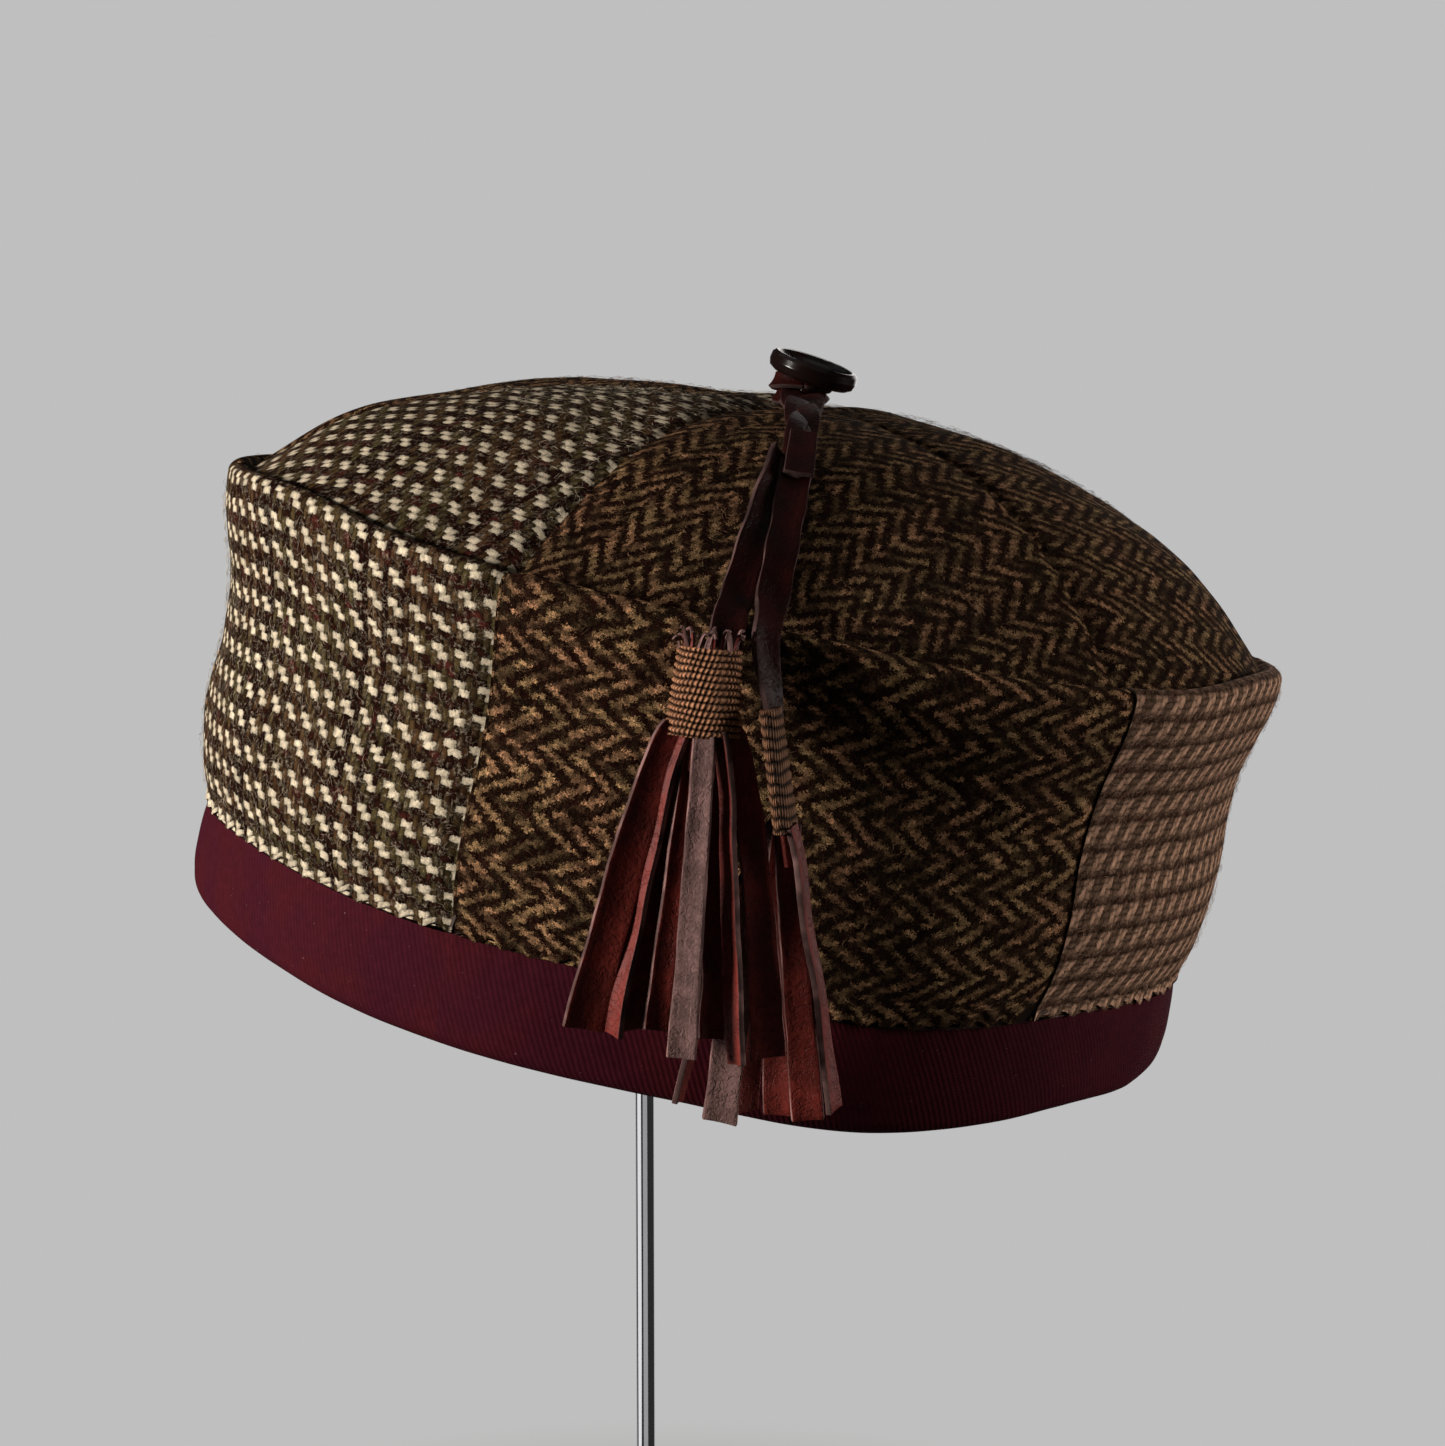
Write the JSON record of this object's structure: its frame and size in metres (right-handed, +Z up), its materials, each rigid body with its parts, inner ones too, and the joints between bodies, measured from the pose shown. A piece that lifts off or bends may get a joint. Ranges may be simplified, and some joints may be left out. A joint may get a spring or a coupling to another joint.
{
  "type": "smoking cap on a rod stand",
  "caption": "Soft smoking cap of pieced tweed over a folded twill band, with a button, a plaited thong and leather tassels, held on a slim rod stand.",
  "frame": {"origin": "centre of the stand base's underside, on the surface that it stands on", "axes": "+Z up along the stand's rod, -Y out of the cap's front panel, where the tassels hang"},
  "size_m": [0.2204, 0.1995, 0.2851],
  "materials": {
    "tweed_cream": "matt",
    "tweed_dark": "matt",
    "tweed_rose": "matt",
    "wine_twill": "matt",
    "wrap_thread": "matt",
    "leather_brown": "satin",
    "button_brown": "gloss",
    "chrome": "mirror",
    "black_paint": "matt"
  },
  "bodies": {
    "root": {"band": "wine_twill", "side_front": "tweed_dark", "tip_front": "tweed_dark", "side_right": "tweed_rose", "tip_right": "tweed_dark", "side_back_right": "tweed_dark", "tip_back_right": "tweed_dark", "side_back": "tweed_cream", "tip_back": "tweed_cream", "side_back_left": "tweed_dark", "tip_back_left": "tweed_dark", "side_left": "tweed_cream", "tip_left": "tweed_cream", "button": "button_brown", "thong_plait": "leather_brown", "strap_left": "leather_brown", "tassel_left_wrap": "wrap_thread", "tassel_left_fringe": "leather_brown", "strap_right": "leather_brown", "tassel_right_wrap": "wrap_thread", "tassel_right_fringe": "leather_brown", "stand_base": "chrome", "stand_rod": "chrome", "stand_head": "black_paint"}
  },
  "joints": []
}
